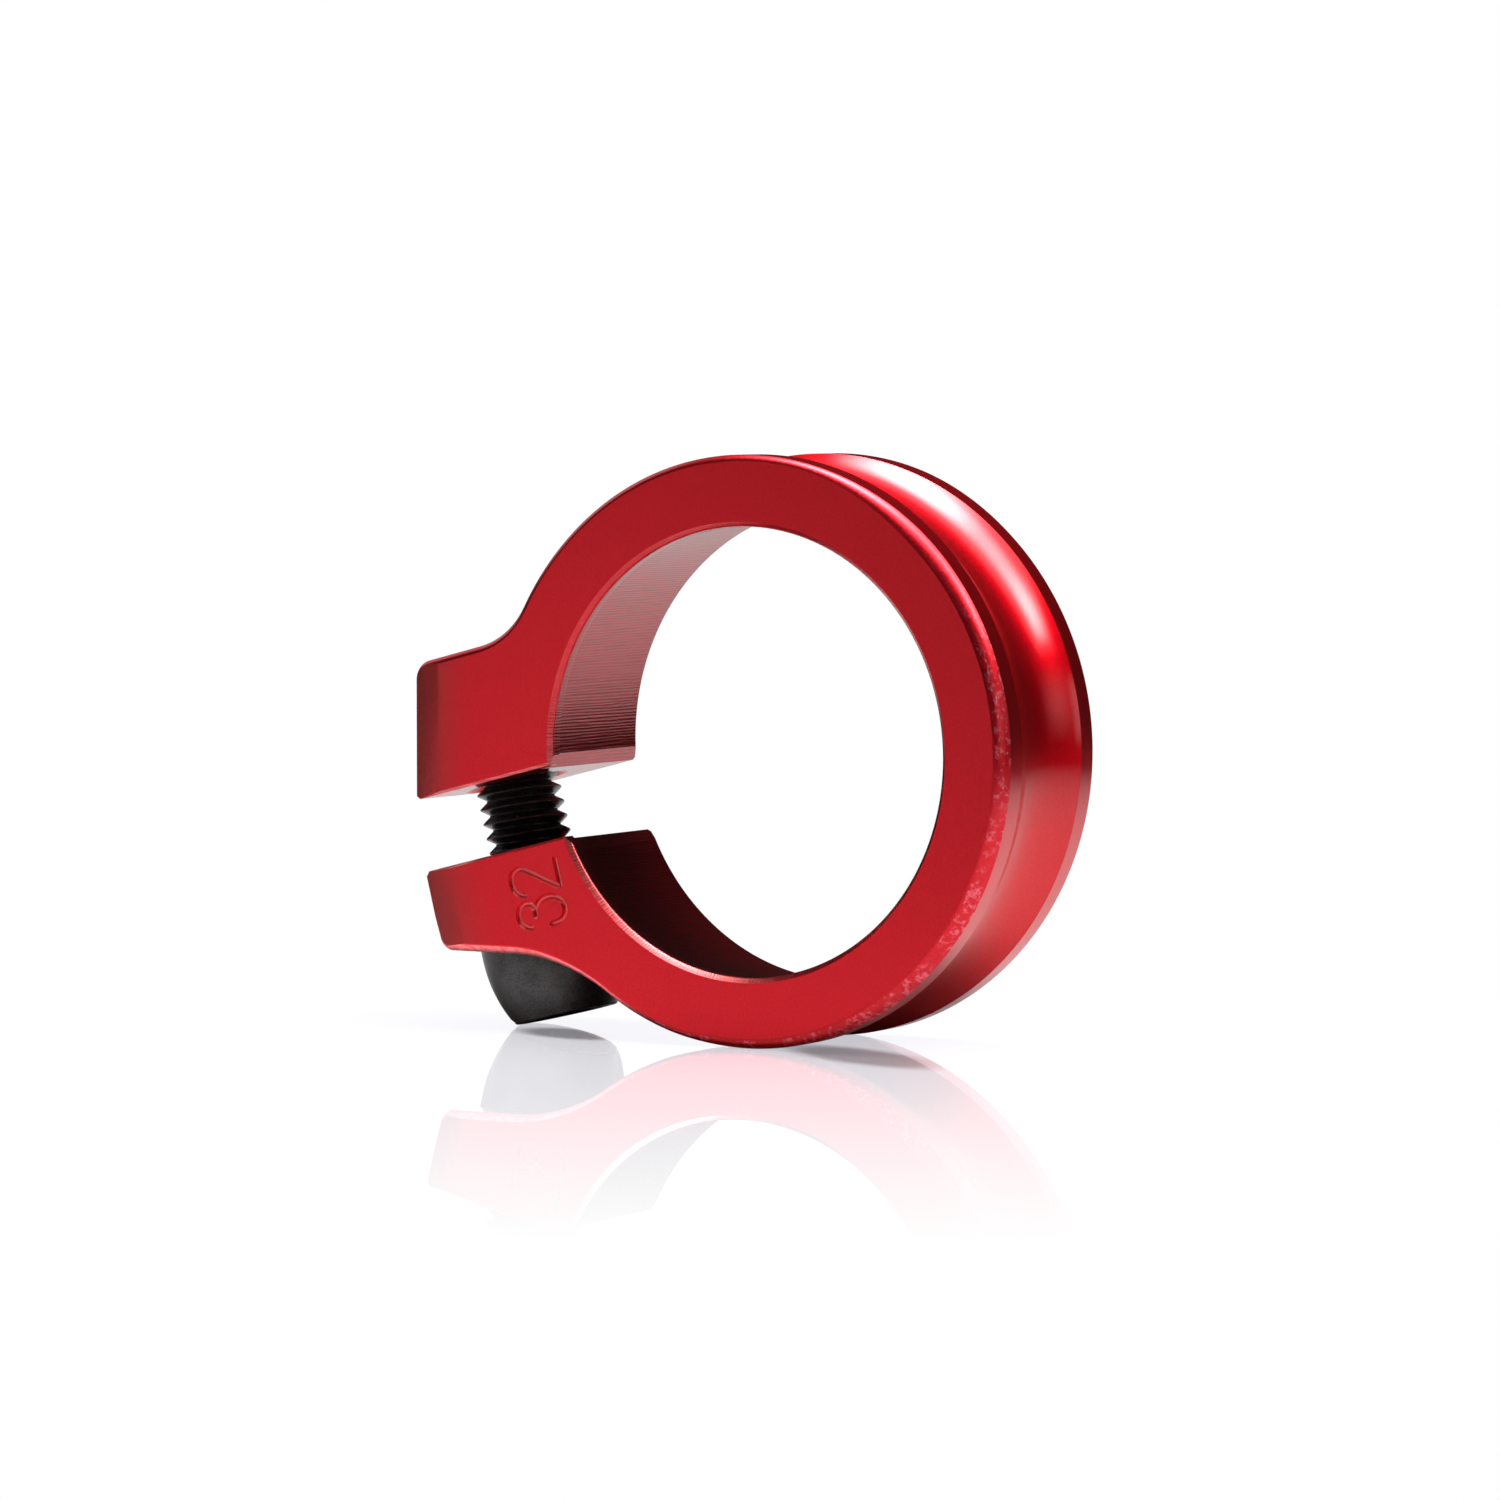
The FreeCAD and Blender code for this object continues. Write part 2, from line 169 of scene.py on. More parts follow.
def round_bolt(radius, turn, v):
    """Point on a circle round the bolt's axis."""
    return world(BOLT_U + radius * math.cos(turn), v, radius * math.sin(turn))


# Outline of the band.

def normal(side):
    angle = math.radians(side[0])
    return math.cos(angle), math.sin(angle)


def foot(point, side):
    """Nearest point of a side."""
    n = normal(side)
    gap = side[1] - (point[0] * n[0] + point[1] * n[1])
    return point[0] + n[0] * gap, point[1] + n[1] * gap


def crossing(side_a, side_b):
    """Point where two sides meet."""
    a, b = normal(side_a), normal(side_b)
    det = a[0] * b[1] - a[1] * b[0]
    return (side_a[1] * b[1] - side_b[1] * a[1]) / det, (a[0] * side_b[1] - b[0] * side_a[1]) / det


def fillet_centre(side, fillet_r):
    """Centre of the arc that joins an ear's side to the ring."""
    n = normal(side)
    away = side[1] + fillet_r
    along = math.sqrt((RING_R + fillet_r) ** 2 - away ** 2)
    turn = 1 if n[1] > 0 else -1
    return n[0] * away + n[1] * turn * along, n[1] * away - n[0] * turn * along


def run_line(start, end, n):
    """Points from start towards end, without the last, each with the normal n."""
    du, dv = end[0] - start[0], end[1] - start[1]
    count = max(1, round(math.hypot(du, dv) / OUTLINE_STEP))
    return [(start[0] + du * k / count, start[1] + dv * k / count, n[0], n[1]) for k in range(count)]


def run_arc(centre, radius, start, end, outward, step_deg):
    """Points round centre from start towards end, without the last; outward is 1 or -1."""
    first = math.atan2(start[1] - centre[1], start[0] - centre[0])
    last = math.atan2(end[1] - centre[1], end[0] - centre[0])
    turn = (last - first + math.pi) % (2 * math.pi) - math.pi
    count = max(2, round(abs(math.degrees(turn)) / step_deg))
    points = []
    for k in range(count):
        angle = first + turn * k / count
        c, s = math.cos(angle), math.sin(angle)
        points.append((centre[0] + radius * c, centre[1] + radius * s, outward * c, outward * s))
    return points


def ear_points(side, tip, corner_r, fillet_r):
    """Outline of one ear from inside the slot to the ring, and the angle where it gets there."""
    n = normal(tip)
    sign = 1 if side[0] > 0 else -1
    inside_v = sign * HALF_GAP / 4
    start = ((tip[1] - n[1] * inside_v) / n[0], inside_v)
    corner = crossing((side[0], side[1] - corner_r), (tip[0], tip[1] - corner_r))
    centre = fillet_centre(side, fillet_r)
    angle = math.atan2(centre[1], centre[0])
    joint = (RING_R * math.cos(angle), RING_R * math.sin(angle))
    first, second, third = foot(corner, tip), foot(corner, side), foot(centre, side)
    points = run_line(start, first, n)
    points += run_arc(corner, corner_r, first, second, 1, CORNER_STEP_DEG)
    points += run_line(second, third, normal(side))
    points += run_arc(centre, fillet_r, third, joint, -1, math.degrees(OUTLINE_STEP / fillet_r))
    return points, math.degrees(angle)


def outline():
    """Closed outline as (u, v, normal u, normal v), and the angles where the ears join the ring."""
    upper, first = ear_points(UPPER_SIDE, UPPER_TIP, UPPER_CORNER_R, UPPER_FILLET_R)
    lower, last = ear_points(LOWER_SIDE, LOWER_TIP, LOWER_CORNER_R, LOWER_FILLET_R)
    last += 360
    count = round(last - first)
    ring = []
    for k in range(count + 1):
        angle = math.radians(first + (last - first) * k / count)
        c, s = math.cos(angle), math.sin(angle)
        ring.append((RING_R * c, RING_R * s, c, s))
    return upper + ring + lower[::-1], first, last


def rim_width(u, v):
    """Width of the outer edge at a point of the outline."""
    out = math.hypot(u, v) - RING_R
    if out > ON_RING:
        past_ring = min(1.0, out / UNDER_EDGE_RISE)
        below = min(1.0, max(0.0, (UNDER_EDGE_V - v) / UNDER_EDGE_RISE))
        return EAR_EDGE + (UNDER_EDGE - EAR_EDGE) * past_ring * below
    angle = math.degrees(math.atan2(v, u)) % 360
    last_angle, last_width = 0.0, EAR_EDGE
    for station_angle, station_width in RIM_STATIONS:
        if angle < station_angle:
            share = (angle - last_angle) / (station_angle - last_angle)
            share = share * share * (3 - 2 * share)
            return last_width + (station_width - last_width) * share
        last_angle, last_width = station_angle, station_width
    return EAR_EDGE


def groove_depth(y):
    """Depth of the turned groove across its width."""
    if abs(y) >= GROOVE_HALF:
        return 0.0
    return math.sqrt(GROOVE_ARC_R ** 2 - y * y) - (GROOVE_ARC_R - GROOVE_DEPTH)


def groove_at(u, v, nu, nv, start, end):
    """Half width of the groove or of its run-out at a point of the outline, and its depth at any y."""
    angle = math.degrees(math.atan2(v, u)) % 360
    if start <= angle <= end and math.hypot(u, v) < RING_R + ON_RING:
        return GROOVE_HALF, groove_depth
    near = math.radians(start if abs(angle - start) < abs(angle - end) else end)
    centre_r = RING_R - GROOVE_DEPTH + RUNOUT_R
    from_u = u - centre_r * math.cos(near)
    from_v = v - centre_r * math.sin(near)
    distance = math.hypot(from_u, from_v)
    if distance >= RUNOUT_R:
        return 0.0, lambda y: 0.0
    level = GROOVE_ARC_R + distance - RUNOUT_R
    half = math.sqrt(max(0.0, GROOVE_ARC_R ** 2 - level ** 2))
    along = from_u * nu + from_v * nv

    def runout_depth(y):
        if abs(y) >= half:
            return 0.0
        sweep_r = RUNOUT_R - GROOVE_DEPTH + groove_depth(y)
        root = along * along - distance * distance + sweep_r * sweep_r
        return max(0.0, along + math.sqrt(root)) if root > 0 else 0.0
    return half, runout_depth


# Mesh helpers.

def new_object(name, bm):
    mesh = bpy.data.meshes.new(name)
    bm.to_mesh(mesh)
    bm.free()
    obj = bpy.data.objects.new(name, mesh)
    bpy.context.scene.collection.objects.link(obj)
    return obj


def mesh_from(name, points, faces):
    bm = bmesh.new()
    verts = [bm.verts.new(point) for point in points]
    for face in faces:
        bm.faces.new([verts[k] for k in face])
    bmesh.ops.recalc_face_normals(bm, faces=bm.faces)
    return new_object(name, bm)


def grid_faces(rows, columns):
    """Quads of a grid that is stored row by row, where the last row joins the first."""
    faces = []
    for row in range(rows):
        for column in range(columns - 1):
            here = row * columns + column
            beyond = (row + 1) % rows * columns + column
            faces.append((here, here + 1, beyond + 1, beyond))
    return faces


def cap_faces(rows, columns, column, tip):
    """Triangles that join one column of such a grid to a tip."""
    return [(k * columns + column, (k + 1) % rows * columns + column, tip) for k in range(rows)]


def lathe(name, profile, steps, place):
    """Closed turned solid over a profile of (radius, height) pairs that starts and ends at radius 0."""
    inner = profile[1:-1]
    columns = len(inner)
    points = []
    for k in range(steps):
        turn = 2 * math.pi * k / steps
        points += [place(radius, turn, height) for radius, height in inner]
    faces = grid_faces(steps, columns)
    for column, end in ((0, profile[0]), (columns - 1, profile[-1])):
        faces += cap_faces(steps, columns, column, len(points))
        points.append(place(0, 0, end[1]))
    return mesh_from(name, points, faces)


def loft(name, first, second):
    """Solid between two polygons of (u, v, y) points with as many corners."""
    count = len(first)
    points = [world(*corner) for corner in first + second]
    faces = [tuple(range(count)), tuple(range(count, 2 * count))]
    for k in range(count):
        beyond = (k + 1) % count
        faces.append((k, beyond, count + beyond, count + k))
    return mesh_from(name, points, faces)


def prism(name, corners, low, high):
    """Straight solid along the bore, from y = low to y = high, over (u, v) corners."""
    return loft(name, [(u, v, low) for u, v in corners], [(u, v, high) for u, v in corners])


def tube_rings(path, radius):
    """Rings of a round-ended tube as (middle, sideways direction, radius), in the plane of u and v."""
    line = [Vector((u, v, 0)) for u, v in path]
    rings = []
    for k, point in enumerate(line):
        ahead = (line[min(len(line) - 1, k + 1)] - line[max(0, k - 1)]).normalized()
        rings.append((point, Vector((-ahead.y, ahead.x, 0)), radius))
    into = (line[1] - line[0]).normalized() * radius
    out = (line[-1] - line[-2]).normalized() * radius
    head, tail = [], []
    for k in range(1, STROKE_END_STEPS):
        bend = math.pi / 2 * k / STROKE_END_STEPS
        head.insert(0, (line[0] - into * math.sin(bend), rings[0][1], radius * math.cos(bend)))
        tail.append((line[-1] + out * math.sin(bend), rings[-1][1], radius * math.cos(bend)))
    return head + rings + tail, (line[0] - into, line[-1] + out)


def tube(name, path, radius, y):
    """Round-ended tube along a path of (u, v) points in the plane y, for cutting a line into a face."""
    rings, tips = tube_rings(path, radius)
    points, faces = [], []
    for middle, sideways, ring_r in rings:
        for k in range(STROKE_SIDES):
            turn = 2 * math.pi * k / STROKE_SIDES
            spot = middle + sideways * ring_r * math.cos(turn)
            points.append(world(spot.x, spot.y, y + ring_r * math.sin(turn)))
    for row in range(len(rings) - 1):
        here, beyond = row * STROKE_SIDES, (row + 1) * STROKE_SIDES
        for k in range(STROKE_SIDES):
            m = (k + 1) % STROKE_SIDES
            faces.append((here + k, here + m, beyond + m, beyond + k))
    for tip, base in zip(tips, (0, (len(rings) - 1) * STROKE_SIDES)):
        for k in range(STROKE_SIDES):
            faces.append((base + k, base + (k + 1) % STROKE_SIDES, len(points)))
        points.append(world(tip.x, tip.y, y))
    return mesh_from(name, points, faces)


def smooth_path(points):
    """Three rounds of cutting the corners off, which keep both ends."""
    for _ in range(3):
        out = [points[0]]
        for a, b in zip(points, points[1:]):
            out.append((a[0] * 0.75 + b[0] * 0.25, a[1] * 0.75 + b[1] * 0.25))
            out.append((a[0] * 0.25 + b[0] * 0.75, a[1] * 0.25 + b[1] * 0.75))
        out.append(points[-1])
        points = out
    return points


def soften(points, reach):
    """Rounds every inner corner of a run of (a, b) points."""
    out = [points[0]]
    for before, corner, after in zip(points, points[1:], points[2:]):
        to_before, to_after = math.dist(before, corner), math.dist(after, corner)
        t = min(reach, to_before / 2.1, to_after / 2.1)
        a = [corner[k] + (before[k] - corner[k]) * t / to_before for k in (0, 1)]
        b = [corner[k] + (after[k] - corner[k]) * t / to_after for k in (0, 1)]
        for i in range(SOFT_STEPS + 1):
            w = i / SOFT_STEPS
            spot = [a[k] * (1 - w) ** 2 + 2 * corner[k] * w * (1 - w) + b[k] * w * w for k in (0, 1)]
            out.append(tuple(spot))
    out.append(points[-1])
    return out


def subtract(obj, cutters):
    """Cuts all the cutters out of obj at once and throws them away."""
    cuts = bpy.data.collections.new("cuts")
    bpy.context.scene.collection.children.link(cuts)
    for cutter in cutters:
        bpy.context.scene.collection.objects.unlink(cutter)
        cuts.objects.link(cutter)
    mod = obj.modifiers.new("cut", "BOOLEAN")
    mod.operation = "DIFFERENCE"
    mod.operand_type = "COLLECTION"
    mod.collection = cuts
    mod.solver = "EXACT"
    mod.use_self = True
    graph = bpy.context.evaluated_depsgraph_get()
    mesh = bpy.data.meshes.new_from_object(obj.evaluated_get(graph), depsgraph=graph)
    obj.modifiers.clear()
    old = obj.data
    obj.data = mesh
    bpy.data.meshes.remove(old)
    for cutter in cutters:
        bpy.data.objects.remove(cutter)
    bpy.data.collections.remove(cuts)


def finish_shading(obj, sharp_deg):
    """Smooth shading with sharp edges over the angle, and normals that follow the larger faces."""
    bm = bmesh.new()
    bm.from_mesh(obj.data)
    bmesh.ops.remove_doubles(bm, verts=bm.verts, dist=WELD_DISTANCE)
    bmesh.ops.dissolve_degenerate(bm, edges=bm.edges, dist=WELD_DISTANCE)
    for face in bm.faces:
        face.smooth = True
    limit = math.radians(sharp_deg)
    for edge in bm.edges:
        edge.smooth = not (edge.is_manifold and edge.calc_face_angle(0.0) > limit)
    bm.to_mesh(obj.data)
    bm.free()
    mod = obj.modifiers.new("weighted", "WEIGHTED_NORMAL")
    mod.mode = "FACE_AREA"
    mod.weight = 50
    mod.keep_sharp = True


# Band.

def edge_profile(width):
    """(inset, depth) pairs from the face to the side: a chamfer with softened corners."""
    pairs = []
    for k in range(EDGE_STEPS + 1):
        t = k / EDGE_STEPS
        a = t * math.pi / 2
        inset = width * ((1 - ROUNDED_SHARE) * (1 - t) + ROUNDED_SHARE * (1 - math.sin(a)))
        depth = width * ((1 - ROUNDED_SHARE) * t + ROUNDED_SHARE * (1 - math.cos(a)))
        pairs.append((inset, depth))
    return pairs


def cross_row(width, half, depth):
    """(inset, y) pairs across the band at one point of its outline, from the front face to the rear."""
    edge = edge_profile(width)
    low = -HALF_WIDTH + width
    row = [(inset, -HALF_WIDTH + down) for inset, down in edge]
    row += [(0.0, low + (-half - low) * k / LAND_STEPS) for k in range(1, LAND_STEPS)]
    for k in range(GROOVE_STEPS + 1):
        crowded = math.cos(math.pi * k / GROOVE_STEPS)
        even = 1 - 2 * k / GROOVE_STEPS
        y = -half * crowded * CROWDED_SHARE - half * even * (1 - CROWDED_SHARE)
        row.append((depth(y) if 0 < k < GROOVE_STEPS else 0.0, y))
    row += [(0.0, half + (-low - half) * k / LAND_STEPS) for k in range(1, LAND_STEPS)]
    row += [(inset, HALF_WIDTH - down) for inset, down in reversed(edge)]
    return row


def band_blank():
    """The band before it is cut: rows across its width, strung along its closed outline."""
    line, first, last = outline()
    reach = math.sqrt(2 * GROOVE_DEPTH / (1 / RUNOUT_R + 1 / RING_R))
    clear = math.degrees((reach + RUNOUT_MARGIN) / RING_R)
    points = []
    for u, v, nu, nv in line:
        half, depth = groove_at(u, v, nu, nv, first + clear, last - clear)
        for inset, y in cross_row(rim_width(u, v), max(half, GROOVE_LEAST_HALF), depth):
            points.append(world(u - nu * inset, v - nv * inset, y))
    rows = len(line)
    columns = len(points) // rows
    faces = grid_faces(rows, columns)
    for column in (0, columns - 1):
        faces.append(tuple(row * columns + column for row in range(rows)))
    return mesh_from("band_body", points, faces)


def corner_wedge(name, radius, cut, low, high, side):
    """Takes off the corner of the slot's wall and a round wall; cut is its size along and across the slot."""
    top = HALF_GAP + cut[1]
    bore_u = math.sqrt(radius ** 2 - top ** 2)
    over = cut[0] / cut[1] * PAST
    near_v, far_v = side * (HALF_GAP - PAST), side * (top + PAST)
    return prism(name, [
        (bore_u + cut[0] + over, near_v),
        (bore_u - over, far_v),
        (bore_u - over - 2, far_v),
        (bore_u - 2, near_v),
    ], low, high)


def slot_edges(side):
    """Narrow bevels where one wall of the slot meets the two faces."""
    leg = SLOT_EDGE + 2 * PAST
    v = side * (HALF_GAP - PAST)
    cuts = []
    for face in (-1, 1):
        y = face * (HALF_WIDTH + PAST)
        corners = ((v, y), (v, y - face * leg), (v + side * leg, y))
        ends = [[(u, *corner) for corner in corners] for u in (SLOT_FROM, SLOT_TO)]
        cuts.append(loft("slot_edge", *ends))
    return cuts


def slot_end(tip, side):
    """Bevel where one wall of the slot meets the ear's end."""
    n = normal(tip)
    end_u = (tip[1] - n[1] * side * HALF_GAP) / n[0]
    near_v = side * (HALF_GAP - PAST)
    return prism("slot_end", [
        (end_u - SLOT_END - PAST, near_v),
        (end_u + 1, near_v),
        (end_u + 1, side * (HALF_GAP + SLOT_END + 1)),
    ], -OUTSIDE, OUTSIDE)


def face_bevels(tip, side):
    """Shallow bevels of both faces along an ear's end."""
    n = normal(tip)
    along = (-n[1] * side, n[0] * side)
    shift = -n[1] * tip[1] / n[0] * side
    start, stop = tip[1] - BEVEL_LENGTH, tip[1] + BEVEL_PAST
    deep = BEVEL_DEPTH * (1 + BEVEL_PAST / BEVEL_LENGTH)
    cuts = []
    for face in (-1, 1):
        wedge = []
        for distance, depth in ((start, 0.0), (stop, deep), (stop, -1.0), (start, -1.0)):
            wedge.append((n[0] * distance, n[1] * distance, face * (HALF_WIDTH - depth)))
        ends = []
        for s in (shift, shift + BEVEL_SPAN):
            ends.append([(u + along[0] * s, v + along[1] * s, y) for u, v, y in wedge])
        cuts.append(loft("face_bevel", *ends))
    return cuts


def slot_cutters():
    """The slot, its corners with the bore and the lip, and the edges and ends of both ears."""
    walls = [(SLOT_FROM, -HALF_GAP), (SLOT_TO, -HALF_GAP), (SLOT_TO, HALF_GAP), (SLOT_FROM, HALF_GAP)]
    cuts = [prism("slot", walls, -OUTSIDE, OUTSIDE)]
    for side in (-1, 1):
        cuts.append(corner_wedge("bore_corner", BORE_R, BORE_CORNER, STOP_Y, OUTSIDE, side))
        cuts.append(corner_wedge("lip_corner", LIP_R, LIP_CORNER, -OUTSIDE, STOP_Y, side))
        cuts += slot_edges(side)
    for tip, side in EARS:
        cuts.append(slot_end(tip, side))
        cuts += face_bevels(tip, side)
    return cuts


def hole_cutters():
    """The blind tapped hole of the upper ear, and the seat and the clearance hole of the lower ear."""
    wide = TAPPED_R + TAPPED_EDGE + PAST
    upper = [(0, 0), (wide, 0), (wide, HALF_GAP - PAST), (TAPPED_R, HALF_GAP + TAPPED_EDGE),
             (TAPPED_R, TAPPED_END), (DRILL_R, TAPPED_END),
             (DRILL_R, TAPPED_END + DRILL_STRAIGHT), (0, TAPPED_END + DRILL_POINT)]
    lower = [(0, BELOW_V), (SEAT_R, BELOW_V), (SEAT_R, SEAT_V), (PASSING_R, SEAT_V),
             (PASSING_R, -HALF_GAP - PASSING_EDGE), (PASSING_R + PASSING_EDGE + PAST, -HALF_GAP + PAST),
             (0, -HALF_GAP + PAST)]
    return [lathe("tapped_hole", upper, 96, round_bolt), lathe("seat_hole", lower, 128, round_bolt)]


def bore_cutter():
    """The bore with the lip in front and a chamfer at both mouths, all corners softened."""
    c = BORE_CHAMFER
    lip = [(LIP_R + c + 1, -OUTSIDE), (LIP_R + c, -HALF_WIDTH), (LIP_R, c - HALF_WIDTH),
           (LIP_R, STOP_Y - LIP_REAR_EDGE), (LIP_R + LIP_REAR_EDGE, STOP_Y)]
    rear = [(BORE_R, STOP_Y), (BORE_R, HALF_WIDTH - c), (BORE_R + c + 1, OUTSIDE)]
    profile = [(0, -OUTSIDE)] + soften(lip, BORE_SOFT) + soften(rear, BORE_SOFT) + [(0, OUTSIDE)]
    return lathe("bore", profile, 300, round_bore)


# Size number 32 in single strokes, as (u, v) points: its tops point to the ear's end.
NUMBER = (
    ((18.8, -5.6), (19.2, -5.48), (19.52, -5.15), (19.64, -4.72), (19.58, -4.25),
     (19.35, -3.95), (19.0, -3.8), (18.7, -3.8), (18.35, -3.98), (16.1, -5.48)),
    ((16.1, -5.48), (15.88, -5.62), (15.88, -3.72)),
    ((18.8, -7.78), (19.25, -7.68), (19.55, -7.35), (19.63, -6.9), (19.5, -6.45),
     (19.15, -6.18), (18.75, -6.15), (18.4, -6.35), (18.22, -6.7)),
    ((18.22, -6.7), (17.95, -6.3), (17.45, -6.05), (16.9, -6.02), (16.3, -6.22),
     (15.95, -6.6), (15.86, -7.1), (16.05, -7.55), (16.45, -7.82), (17.1, -7.88)),
    ((18.22, -6.6), (18.24, -7.1)),
)
NUMBER_U = (15.7, 19.9)
NUMBER_V = (-8.2, -3.5)
NUMBER_GROOVE_R = 0.2
NUMBER_Y = -HALF_WIDTH + 0.003


def number_cutters():
    """The strokes of the size number, each a little wider than the last, so that no two share a surface."""
    cuts = []
    for k, path in enumerate(NUMBER):
        line = smooth_path(path) if len(path) > 3 else path
        cuts.append(tube("number", line, NUMBER_GROOVE_R + 0.002 * k, NUMBER_Y))
    return cuts


def make_band():
    made = band_blank()
    subtract(made, [bore_cutter()] + slot_cutters() + hole_cutters() + number_cutters())
    finish_shading(made, BAND_SHARP_DEG)
    return made


# Bolt.

# Thread form over one pitch: share of the pitch, share of the thread's height.
THREAD_FORM = ((0.0, 0.0), (0.05, 0.06), (0.10, 0.2), (0.38, 0.90), (0.425, 0.985), (0.45, 1.0),
               (0.49, 1.0), (0.515, 0.985), (0.56, 0.90), (0.84, 0.2), (0.89, 0.06), (0.945, 0.0))


def hexagon(turn, inset=0.0, least=0.0):
    """Radius of the socket's wall at an angle round the bolt."""
    from_flat = (turn + math.pi / 6) % (math.pi / 3) - math.pi / 6
    return max(SOCKET_HALF / math.cos(from_flat) - inset, least)


def socket_rings():
    """Rings from the socket's floor to the flat round its mouth, as (radius, depth under that flat)."""
    return [
        (2.2, 3.35),
        (2.38, 3.2),
        (lambda turn: hexagon(turn, inset=0.06), 3.18),
        (hexagon, 3.1),
        (hexagon, 1.5),
        (hexagon, 0.25),
        (lambda turn: hexagon(turn, least=2.75), 0.16),
        (2.93, 0.0),
        (3.2, 0.0),
    ]


def quarter_turn(steps=4):
    return [math.pi / 2 * k / steps for k in range(steps + 1)]


def bow_rings():
    """Rings of the bowed side of the head, between its softened end and its straight part."""
    bulge = HEAD_R - HEAD_END_R
    rise = HEAD_LENGTH - HEAD_STRAIGHT
    bow_r = (bulge ** 2 + rise ** 2) / (2 * bulge)
    start = HEAD_EDGE * 1.3
    rings = []
    for k in range(1, BOW_STEPS + 1):
        height = start + (rise - start) * k / BOW_STEPS
        rings.append((HEAD_R - bow_r + math.sqrt(bow_r ** 2 - (rise - height) ** 2), HEAD_END + height))
    return rings


def head_rings():
    """Rings of the head as (radius, v), from the socket's floor over the outside to the shank."""
    rings = [(radius, HEAD_END + depth) for radius, depth in socket_rings()]
    soft = HEAD_EDGE * 1.1
    for a in quarter_turn():
        rings.append((HEAD_END_R - HEAD_EDGE + soft * math.sin(a), HEAD_END + soft * (1 - math.cos(a))))
    rings += bow_rings()
    rings.append((HEAD_R, HEAD_TOP - 0.7))
    soft = HEAD_TOP_EDGE
    for a in quarter_turn():
        rings.append((HEAD_R - soft * (1 - math.cos(a)), HEAD_TOP - soft + soft * math.sin(a)))
    return rings + [(PASSING_R, HEAD_TOP), (THREAD_ROOT, HEAD_TOP)]


def add_thread(points, faces):
    """A strip one pitch high that climbs round the shank and is clamped to both of its ends."""
    base, columns = len(points), len(THREAD_FORM)
    total = (int((TIP_V - HEAD_TOP) / PITCH) + 2) * THREAD_SIDES
    for step in range(total + 1):
        turn = 2 * math.pi * step / THREAD_SIDES
        for share, rise in THREAD_FORM:
            v = HEAD_TOP - PITCH + THREAD_PHASE + (step / THREAD_SIDES + share) * PITCH
            pointed = THREAD_ROOT - TIP_CHAMFER + max(0.0, TIP_V - v)
            radius = min(THREAD_ROOT + (THREAD_R - THREAD_ROOT) * rise, pointed)
            points.append(round_bolt(radius, turn, min(max(v, HEAD_TOP), TIP_V)))
    for step in range(total):
        for column in range(columns - 1):
            here = base + step * columns + column
            faces.append((here, here + 1, here + columns + 1, here + columns))
        if step + THREAD_SIDES + 1 <= total:
            here = base + step * columns + columns - 1
            above = base + (step + THREAD_SIDES) * columns
            faces.append((here, above, above + columns, here + columns))


def make_bolt():
    """Head and thread in one mesh."""
    rings = head_rings()
    points = []
    for k in range(HEAD_SIDES):
        turn = 2 * math.pi * k / HEAD_SIDES
        for radius, v in rings:
            points.append(round_bolt(radius(turn) if callable(radius) else radius, turn, v))
    faces = grid_faces(HEAD_SIDES, len(rings))
    faces += cap_faces(HEAD_SIDES, len(rings), 0, len(points))
    points.append(round_bolt(0, 0, HEAD_END + 4.0))
    add_thread(points, faces)
    made = mesh_from("bolt_body", points, faces)
    finish_shading(made, BOLT_SHARP_DEG)
    return made


# Node helpers.

def new_material(name):
    mat = bpy.data.materials.new(name)
    mat.use_nodes = True
    return mat, mat.node_tree, mat.node_tree.nodes["Principled BSDF"]


def math_node(tree, operation, a, b=None):
    n = tree.nodes.new("ShaderNodeMath")
    n.operation = operation
    for socket, value in zip(n.inputs, (a, b)):
        if isinstance(value, (int, float)):
            socket.default_value = value
        elif value is not None:
            tree.links.new(value, socket)
    return n.outputs[0]


def times(tree, first, *others):
    """Product of two or more sockets and numbers."""
    for other in others:
        first = math_node(tree, "MULTIPLY", first, other)
    return first


def plus(tree, a, b):
    return math_node(tree, "ADD", a, b)


def ramp(tree, value, low, high, out_low=0.0, out_high=1.0, smooth=True):
    """Runs from out_low to out_high while the value goes from low to high."""
    n = tree.nodes.new("ShaderNodeMapRange")
    if smooth:
        n.interpolation_type = "SMOOTHSTEP"
    tree.links.new(value, n.inputs[0])
    for k, number in enumerate((low, high, out_low, out_high)):
        n.inputs[k + 1].default_value = number
    return n.outputs[0]


def mix_color(tree, share, a, b):
    n = tree.nodes.new("ShaderNodeMix")
    n.data_type = "RGBA"
    tree.links.new(share, n.inputs[0])
    for socket, color in ((n.inputs[6], a), (n.inputs[7], b)):
        if isinstance(color, tuple):
            socket.default_value = (*color, 1.0)
        else:
            tree.links.new(color, socket)
    return n.outputs[2]


def noise(tree, vector, scale, detail=2.0, rough=0.5):
    n = tree.nodes.new("ShaderNodeTexNoise")
    n.inputs["Scale"].default_value = scale
    n.inputs["Detail"].default_value = detail
    n.inputs["Roughness"].default_value = rough
    tree.links.new(vector, n.inputs["Vector"])
    return n.outputs[0]


def bump(tree, height, strength, distance):
    n = tree.nodes.new("ShaderNodeBump")
    n.inputs["Strength"].default_value = strength
    n.inputs["Distance"].default_value = distance
    tree.links.new(height, n.inputs["Height"])
    return n.outputs[0]


def object_place(tree):
    return tree.nodes.new("ShaderNodeTexCoord").outputs["Object"]


def parts_of(tree, vector):
    """The x, y and z of a vector."""
    n = tree.nodes.new("ShaderNodeSeparateXYZ")
    tree.links.new(vector, n.inputs[0])
    return n.outputs


